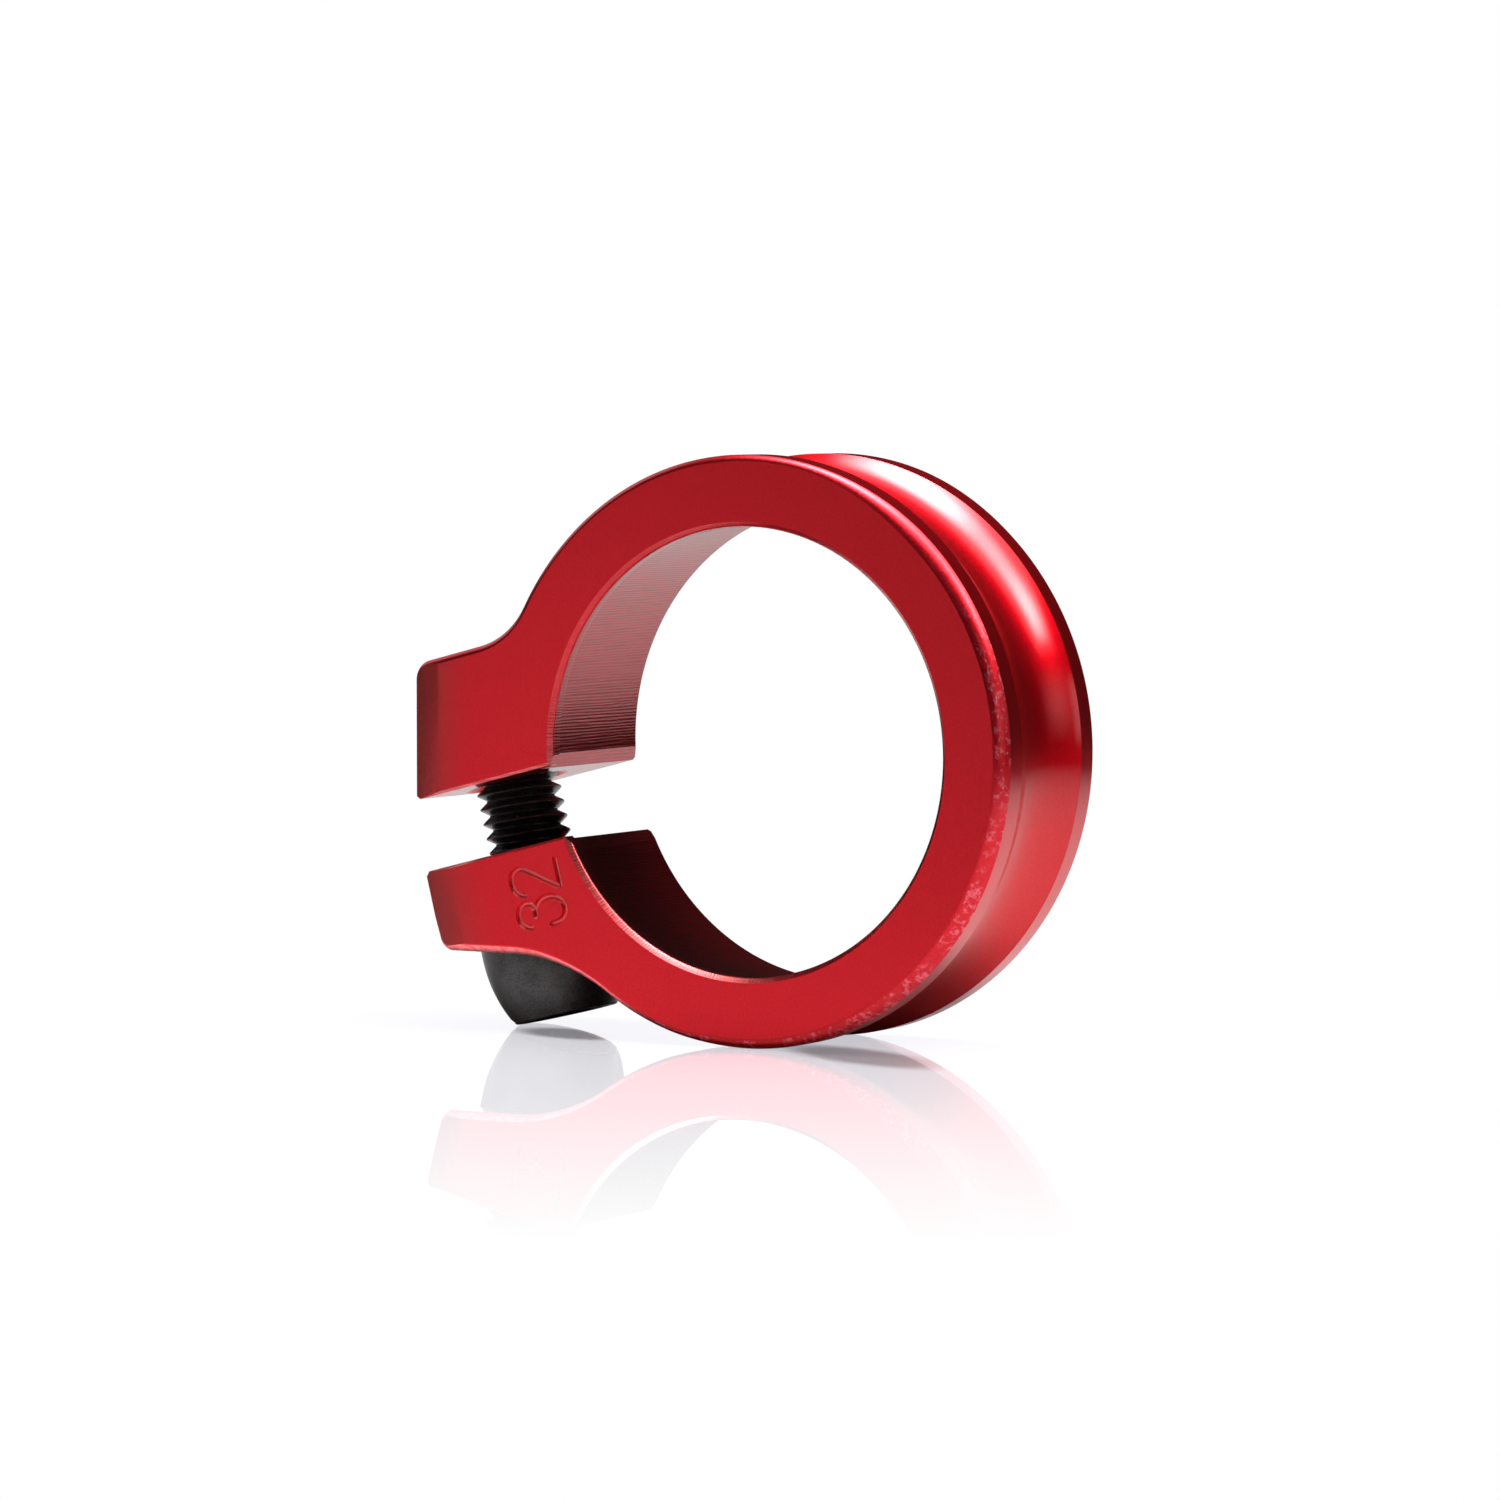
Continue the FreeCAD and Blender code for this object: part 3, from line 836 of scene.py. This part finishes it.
def joined(tree, x, y):
    """A vector of two values, for noise that is stretched."""
    n = tree.nodes.new("ShaderNodeCombineXYZ")
    tree.links.new(x, n.inputs[0])
    tree.links.new(y, n.inputs[1])
    return n.outputs[0]


# Red finishes. Each extra adds its marks to the colour and the height of an anodised surface; some of these
# marks are painted light or shade.

def chatter(tree, place, base, height, high):
    """Chatter marks along the bore, about 0.2 mm apart, that fade in and out."""
    x, y, z = parts_of(tree, place)
    angle = math_node(tree, "ARCTAN2", z, x)
    lines = joined(tree, times(tree, angle, 0.016), times(tree, y, 0.05))
    drift = noise(tree, lines, 900.0)
    marks = noise(tree, lines, 7000.0, 2.0, 0.55)
    wave = math_node(tree, "SINE", plus(tree, times(tree, angle, 470.0), times(tree, drift, 14.0)))
    ribs = plus(tree, times(tree, wave, 0.22), marks)
    dark = tuple(c * 0.6 for c in high)
    base = mix_color(tree, ramp(tree, ribs, 0.3, 0.8), base, dark)
    return base, plus(tree, height, times(tree, ribs, 1.7))


def red_above_painted_sheen_below(tree, place, base, height, high):
    """Full red on the upper half of the lip; its lower half keeps the pale pink, a painted sheen."""
    z = parts_of(tree, place)[2]
    return mix_color(tree, ramp(tree, z, -0.003, 0.004), base, (0.72, 0.006, 0.016)), height


def worn_spots_and_painted_glints(tree, place, base, height, high):
    """Pale pink spots on the rim's edge, partly dye worn thin and partly painted glints, and a painted
    highlight on the edge beneath the lower ear, for the bright floor that it reflects.
    """
    x, y, z = parts_of(tree, place)
    angle = math_node(tree, "ARCTAN2", z, x)
    spots = noise(tree, place, 2600.0, 2.0, 0.6)
    patches = noise(tree, place, 420.0)
    below = ramp(tree, z, -0.004, 0.0, 1.0, 0.0)
    wide = plus(tree, spots, times(tree, below, 0.05))
    bare_spots_and_glints = times(tree, ramp(tree, wide, 0.52, 0.72), ramp(tree, patches, 0.34, 0.56),
                 ramp(tree, angle, 0.10, 0.60, 1.0, 0.15))
    # Painted highlight: the edge beneath the lower ear is made paler, for the bright floor that it reflects.
    ear = times(tree, below, ramp(tree, x, -0.013, -0.004, 1.0, 0.0),
                ramp(tree, x, -0.0255, -0.0210, 0.25, 1.0), ramp(tree, spots, 0.35, 0.62, 0.45, 1.0))
    base = mix_color(tree, ear, base, (1.0, 0.20, 0.20))
    base = mix_color(tree, times(tree, bare_spots_and_glints, 0.9), base, (1.0, 0.17, 0.23))
    return base, plus(tree, height, times(tree, bare_spots_and_glints, 1.5))


def nicks_painted_as_glints(tree, place, base, height, high):
    """Short bright marks along the rim, each a nick in the dye, painted as glints on the rim's right side
    only.
    """
    x, y, z = parts_of(tree, place)
    angle = math_node(tree, "ARCTAN2", z, x)
    along_rim = joined(tree, times(tree, angle, 0.005), y)
    # Painted glints: the marks show only on the rim's right side, where the light falls.
    nick_glints = times(tree, ramp(tree, noise(tree, along_rim, 5200.0, 1.0), 0.62, 0.70),
                  ramp(tree, angle, 0.02, 0.12), ramp(tree, angle, 0.36, 0.46, 1.0, 0.0))
    return mix_color(tree, nick_glints, base, (1.0, 0.30, 0.36)), height


def painted_shade_at_ear_ends(tree, place, base, height, high):
    """Colour that turns dark brown towards the ends of both ears: painted shade, for the darker reflection of
    the shallow bevels there.
    """
    x, y, z = parts_of(tree, place)
    along = plus(tree, times(tree, x, -math.cos(LEAN)), times(tree, z, -math.sin(LEAN)))
    across = plus(tree, times(tree, x, -math.sin(LEAN)), times(tree, z, math.cos(LEAN)))
    above = math_node(tree, "MAXIMUM", across, 0.0)
    to_end = plus(tree, along, times(tree, above, math.tan(math.radians(UPPER_TIP[0]))))
    return mix_color(tree, ramp(tree, to_end, 0.0212, 0.0275), base, (0.30, 0.036, 0.034)), height


def anodised(name, low, high, rough, coat, coat_ior, coat_rough, grain, extras=()):
    """Dyed oxide over aluminium: a rough tinted metal under a clear coat."""
    mat, tree, shader = new_material(name)
    place = object_place(tree)
    fine = noise(tree, place, 6000.0, 2.0, 0.6)
    base = mix_color(tree, ramp(tree, fine, 0.3, 0.7), low, high)
    height = times(tree, fine, grain)
    for extra in extras:
        base, height = extra(tree, place, base, height, high)
    roughness = ramp(tree, fine, 0.2, 0.8, rough - 0.03, rough + 0.03)
    relief = bump(tree, height, 0.35, 0.00002)
    tree.links.new(base, shader.inputs["Base Color"])
    tree.links.new(roughness, shader.inputs["Roughness"])
    tree.links.new(relief, shader.inputs["Normal"])
    if extras:
        tree.links.new(relief, shader.inputs["Coat Normal"])
    shader.inputs["Metallic"].default_value = 1.0
    shader.inputs["Coat Weight"].default_value = coat
    shader.inputs["Coat IOR"].default_value = coat_ior
    shader.inputs["Coat Roughness"].default_value = coat_rough
    return mat


def number_painted_highlight():
    """Paler red for the side of the strokes of the size number that faces the light: a painted highlight."""
    mat, tree, shader = new_material("red_line_painted_highlight")
    shader.inputs["Base Color"].default_value = (1.0, 0.17, 0.18, 1.0)
    shader.inputs["Metallic"].default_value = 0.9
    shader.inputs["Roughness"].default_value = 0.5
    return mat


def red_finishes():
    """The finishes of the band, by the name of the place that they are for."""
    return {
        # The face's colour darkens towards the ears' ends: painted shade.
        "face": anodised("red_blasted", (0.66, 0.004, 0.013), (0.76, 0.006, 0.017), rough=0.36, coat=0.4,
                         coat_ior=1.5, coat_rough=0.34, grain=1.0, extras=(painted_shade_at_ear_ends,)),
        "turned": anodised("red_turned", (0.70, 0.002, 0.009), (0.79, 0.003, 0.012), rough=0.38, coat=1.0,
                           coat_ior=1.6, coat_rough=0.06, grain=0.1),
        "bore": anodised("red_bore", (0.40, 0.007, 0.012), (0.48, 0.009, 0.014), rough=0.34, coat=1.0,
                         coat_ior=1.55, coat_rough=0.16, grain=0.3, extras=(chatter,)),
        # The edge's pale spots are partly painted glints, and its part beneath the lower ear is a painted
        # highlight.
        "edge": anodised("red_edge", (0.74, 0.007, 0.018), (0.84, 0.014, 0.028), rough=0.33, coat=0.6,
                         coat_ior=1.5, coat_rough=0.2, grain=0.6, extras=(worn_spots_and_painted_glints, nicks_painted_as_glints)),
        # The lip's pale pink stays on its lower half only: a painted sheen where it faces the lamps above.
        "lip": anodised("red_lip_with_painted_sheen", (0.76, 0.06, 0.065), (0.88, 0.11, 0.115), rough=0.30, coat=1.0,
                        coat_ior=1.55, coat_rough=0.16, grain=0.4, extras=(chatter, red_above_painted_sheen_below)),
        "line": number_painted_highlight(),
    }


def in_number(u, v, y):
    """Whether a face is one of a stroke of the size number."""
    sunk = -HALF_WIDTH + 0.015 < y < -HALF_WIDTH + 0.3
    return sunk and NUMBER_U[0] < u < NUMBER_U[1] and NUMBER_V[0] < v < NUMBER_V[1]


def place_on_band(n, centre):
    """Name of the place of a face of the band, from its normal and its centre in mm."""
    u, v = upright(centre)
    from_axis = math.hypot(centre.x, centre.z)
    inward = (n.x * centre.x + n.z * centre.z) / from_axis < -0.6
    slanted = abs(n.y) > 0.12
    if in_number(u, v, centre.y):
        # Stroke walls that face up and to the left get the painted highlight; the rest get the face's finish.
        return "line" if 0.6 * n.z - 0.8 * n.x > -0.2 else "face"
    if abs(n.y) > 0.9:
        return "face"
    if from_axis < BORE_R + 0.7 and abs(n.y) < 0.2 and inward:
        return "bore"
    if slanted and abs(centre.y) > HALF_WIDTH - 0.5 and abs(v) < HALF_GAP + 0.3 and u > BORE_R:
        return "lip"
    if slanted and abs(centre.y) > HALF_WIDTH - 0.9 and from_axis > BORE_R + 0.5:
        return "edge"
    if slanted and inward:
        return "lip"
    return "turned"


def paint_band(obj):
    finishes = red_finishes()
    obj.data.materials.clear()
    for mat in finishes.values():
        obj.data.materials.append(mat)
    places = list(finishes)
    for face in obj.data.polygons:
        face.material_index = places.index(place_on_band(face.normal, face.center / MM))


def black_oxide(name, low, high, rough):
    """Black oxide on steel, with a fine grain."""
    mat, tree, shader = new_material(name)
    place = object_place(tree)
    soft = noise(tree, place, 700.0, 3.0)
    fine = noise(tree, place, 7000.0, 2.0, 0.6)
    grain = plus(tree, times(tree, soft, 0.4), times(tree, fine, 0.6))
    base = mix_color(tree, ramp(tree, grain, 0.38, 0.62), (low,) * 3, (high,) * 3)
    tree.links.new(base, shader.inputs["Base Color"])
    tree.links.new(ramp(tree, fine, 0.2, 0.8, rough - 0.06, rough + 0.06), shader.inputs["Roughness"])
    tree.links.new(bump(tree, fine, 0.4, 0.00003), shader.inputs["Normal"])
    shader.inputs["Metallic"].default_value = 0.6
    return mat


def paint_bolt(obj):
    obj.data.materials.clear()
    obj.data.materials.append(black_oxide("black_head", 0.028, 0.064, 0.36))
    obj.data.materials.append(black_oxide("black_thread", 0.012, 0.022, 0.22))
    for face in obj.data.polygons:
        on_shank = upright(face.center / MM)[1] > HEAD_TOP + 0.01
        face.material_index = 1 if on_shank else 0


# Floor. Ellipses in plan, in mm: where the part touches it, each with a painted shadow (middle, turn, reach),
# and painted shade on the floor that the part sees (middle, reach, strength).
PAINTED_CONTACT_SHADOWS = (((9.0, -6.3), -0.5, (10.5, 3.8)), ((-14.8, -4.0), -0.37, (6.2, 3.2)))
PAINTED_FLOOR_SHADES = (((2.0, 6.0), (17.0, 11.0), 0.55), ((-9.0, -1.0), (8.0, 7.0), 0.8))
FLOOR_HALF = 6.0


def length_of(tree, vector):
    n = tree.nodes.new("ShaderNodeVectorMath")
    n.operation = "LENGTH"
    tree.links.new(vector, n.inputs[0])
    return n.outputs["Value"]


def ellipse(tree, place, middle, turn, reach):
    """Mask that is 1 inside an ellipse on the floor and fades out over its outer half."""
    moved = tree.nodes.new("ShaderNodeMapping")
    moved.vector_type = "TEXTURE"
    tree.links.new(place, moved.inputs["Vector"])
    moved.inputs["Location"].default_value = (middle[0] * MM, middle[1] * MM, FLOOR_Z * MM)
    moved.inputs["Rotation"].default_value = (0, 0, turn)
    moved.inputs["Scale"].default_value = (reach[0] * MM, reach[1] * MM, 1)
    return ramp(tree, length_of(tree, moved.outputs[0]), 0.5, 1.0, 1.0, 0.0)


def grey(tree, value, factor):
    n = tree.nodes.new("ShaderNodeCombineColor")
    level = times(tree, value, factor)
    for socket in n.inputs[:3]:
        tree.links.new(level, socket)
    return n.outputs[0]


def shader_node(tree, kind, color):
    n = tree.nodes.new(kind)
    tree.links.new(color, n.inputs["Color"])
    return n


def sum_of(tree, a, b):
    n = tree.nodes.new("ShaderNodeAddShader")
    tree.links.new(a.outputs[0], n.inputs[0])
    tree.links.new(b.outputs[0], n.inputs[1])
    return n


def seen_floor(tree, place, distance):
    """What the camera sees: white that is dimmer near the part, its shadow, a painted shadow where the part
    touches it, and a mirror image that fades.
    """
    near = ramp(tree, distance, 0.022, 0.098, 1.0, 0.0, smooth=False)
    # Painted shadow: the glow turns dark grey where the part touches the floor, and the mirror is stronger
    # there.
    painted_contact_shadow = math_node(tree, "MAXIMUM", *[ellipse(tree, place, *contact) for contact in PAINTED_CONTACT_SHADOWS])
    glow = mix_color(tree, near, (1, 1, 1), (0.56, 0.56, 0.60))
    white = shader_node(tree, "ShaderNodeEmission", mix_color(tree, painted_contact_shadow, glow, (0.22, 0.22, 0.24)))
    soft = shader_node(tree, "ShaderNodeBsdfDiffuse", grey(tree, near, 0.14))
    shine = plus(tree, near, times(tree, painted_contact_shadow, 0.9))
    mirror = shader_node(tree, "ShaderNodeBsdfGlossy", grey(tree, shine, 0.95))
    mirror.inputs["Roughness"].default_value = 0.0
    return sum_of(tree, sum_of(tree, white, soft), mirror)


def lit_floor(tree, place, distance):
    """What the part sees: white near it, with painted shade under it and a painted falloff to dark further
    off.
    """
    under = 1.0
    for middle, reach, strength in PAINTED_FLOOR_SHADES:
        shade = times(tree, ellipse(tree, place, middle, 0.0, reach), strength)
        under = times(tree, math_node(tree, "SUBTRACT", 1.0, shade), under)
    # Painted falloff: the floor's colour runs from white at 50 mm to nearly black at 200 mm.
    level = times(tree, ramp(tree, distance, 0.050, 0.200, 1.0, 0.02), under)
    return shader_node(tree, "ShaderNodeBsdfDiffuse", grey(tree, level, 0.92))


def floor_material():
    """One floor for the camera's own view and a plainer one for all other rays."""
    mat, tree, shader = new_material("white_floor")
    tree.nodes.remove(shader)
    place = tree.nodes.new("ShaderNodeNewGeometry").outputs["Position"]
    distance = length_of(tree, place)
    path = tree.nodes.new("ShaderNodeLightPath")
    by_camera = tree.nodes.new("ShaderNodeMixShader")
    tree.links.new(path.outputs["Is Camera Ray"], by_camera.inputs[0])
    tree.links.new(lit_floor(tree, place, distance).outputs[0], by_camera.inputs[1])
    tree.links.new(seen_floor(tree, place, distance).outputs[0], by_camera.inputs[2])
    tree.links.new(by_camera.outputs[0], tree.nodes["Material Output"].inputs["Surface"])
    return mat


def make_floor():
    bm = bmesh.new()
    for x, y in ((-1, -1), (1, -1), (1, 1), (-1, 1)):
        bm.verts.new((x * FLOOR_HALF, y * FLOOR_HALF, FLOOR_Z * MM))
    bm.faces.new(bm.verts)
    made = new_object("floor", bm)
    made.data.materials.append(floor_material())
    return made


# Lights. A card is its name, place, target, width, height, level and the share of its sides that fades.
CARDS = (
    ("card_front", (-82, -117, -4), (-12, -6, -1), 46, 22, 1.3, 0.1),
    ("card_far", (-360, -630, 40), (0, 0, 0), 420, 170, 0.9, 0.1),
    ("card_left", (-330, 90, 210), (0, 0, 0), 260, 300, 0.8, 0.3),
    ("card_right", (420, 0, 92), (0, 0, 0), 460, 210, 0.55, 0.5),
    ("card_rim", (390, -230, 70), (0, 0, 0), 260, 190, 0.9, 0.3),
    ("card_low", (-21, -9, -19.2), (-21, -9, 0), 24, 13, 0.6, 0.3),
)


def soft_panel(name, width, height, level, edge):
    """Rectangle light with a level of brightness that fades out over a share of its sides."""
    data = bpy.data.lights.new(name, "AREA")
    data.shape = "RECTANGLE"
    data.size, data.size_y = width, height
    data.energy = level * math.pi * width * height
    data.use_nodes = True
    tree = data.node_tree
    parametric = tree.nodes.new("ShaderNodeNewGeometry").outputs["Parametric"]
    fades = []
    for across in parts_of(tree, parametric)[:2]:
        rest = math_node(tree, "MINIMUM", across, math_node(tree, "SUBTRACT", 1.0, across))
        fades.append(ramp(tree, rest, 0.0, edge))
    tree.links.new(times(tree, *fades), tree.nodes["Emission"].inputs["Strength"])
    obj = bpy.data.objects.new(name, data)
    bpy.context.scene.collection.objects.link(obj)
    return obj


def lamp(name, low, high, level, height=0.6, edge=0.45):
    """Overhead panel from corner low to corner high, which are shares of its height in metres."""
    obj = soft_panel(name, (high[0] - low[0]) * height, (high[1] - low[1]) * height, level, edge)
    obj.location = ((low[0] + high[0]) / 2 * height, (low[1] + high[1]) / 2 * height, height)
    return obj


def card(name, place, target, width, height, level, edge):
    """Small glowing card at a place, turned to a target, all in mm; the camera doesn't see it."""
    obj = soft_panel(name, width * MM, height * MM, level, edge)
    obj.location = Vector(place) * MM
    obj.rotation_euler = (Vector(place) - Vector(target)).to_track_quat("Z", "Y").to_euler()
    obj.visible_camera = False


def make_lights():
    """Overhead strips, of which the cores only show as reflections, and cards round the part."""
    lamp("strip", (-0.50, -0.30), (1.80, 0.38), 6.2, height=0.64)
    lamp("panel", (-0.70, -0.60), (2.1, 0.65), 1.8, height=0.68, edge=0.3)
    lamp("core_top", (-0.54, -0.38), (0.44, 0.42), 17.0).visible_diffuse = False
    lamp("core_right", (0.60, -0.46), (1.80, 0.40), 6.0).visible_diffuse = False
    for values in CARDS:
        card(*values)


def make_world():
    """White for the camera, grey in sharp mirror images and nearly black for everything else."""
    sky = bpy.data.worlds.new("studio")
    bpy.context.scene.world = sky
    sky.use_nodes = True
    tree = sky.node_tree
    path = tree.nodes.new("ShaderNodeLightPath")
    direction = tree.nodes.new("ShaderNodeTexCoord").outputs["Generated"]
    surround = ramp(tree, parts_of(tree, direction)[2], -0.01, 0.01, 0.02, 0.012)
    level = math_node(tree, "MAXIMUM", surround, path.outputs["Is Camera Ray"])
    level = math_node(tree, "MAXIMUM", level, times(tree, path.outputs["Is Singular Ray"], 0.38))
    background = tree.nodes["Background"]
    tree.links.new(level, background.inputs["Strength"])
    background.inputs["Color"].default_value = (1, 1, 1, 1)


# Camera, as fitted to the photograph: its direction in degrees, and its place from the bore's middle in mm.
CAMERA_TURN_DEG = 30.54
CAMERA_RISE_DEG = 3.30
CAMERA_RIGHT = -2.895
CAMERA_UP = -0.151
CAMERA_BACK = 397.03
CAMERA_AIM = (0, 0.25, 0)
CAMERA_LENS = 144


def make_camera():
    turn, rise = math.radians(CAMERA_TURN_DEG), math.radians(CAMERA_RISE_DEG)
    right = Vector((math.cos(turn), math.sin(turn), 0))
    up = Vector((-math.sin(turn) * math.sin(rise), math.cos(turn) * math.sin(rise), math.cos(rise)))
    back = Vector((math.sin(turn) * math.cos(rise), -math.cos(turn) * math.cos(rise), math.sin(rise)))
    data = bpy.data.cameras.new("camera")
    data.sensor_width = 36
    data.lens = CAMERA_LENS
    data.clip_start = 0.01
    camera = bpy.data.objects.new("camera", data)
    offset = right * CAMERA_RIGHT + up * CAMERA_UP + back * CAMERA_BACK
    camera.location = (offset + Vector(CAMERA_AIM)) * MM
    camera.rotation_euler = back.to_track_quat("Z", "Y").to_euler()
    bpy.context.scene.collection.objects.link(camera)
    bpy.context.scene.camera = camera


band = make_band()
bolt = make_bolt()
paint_band(band)
paint_bolt(bolt)
pieces = ((band, "band", "clamp_band", "band"), (bolt, "bolt", "clamp_bolt", "bolt"))
for piece, body, nodename, slot_name in pieces:
    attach(piece, body)
    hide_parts(nodename)

floor = make_floor()
make_lights()
make_world()
make_camera()
bpy.context.scene.view_settings.view_transform = "Standard"
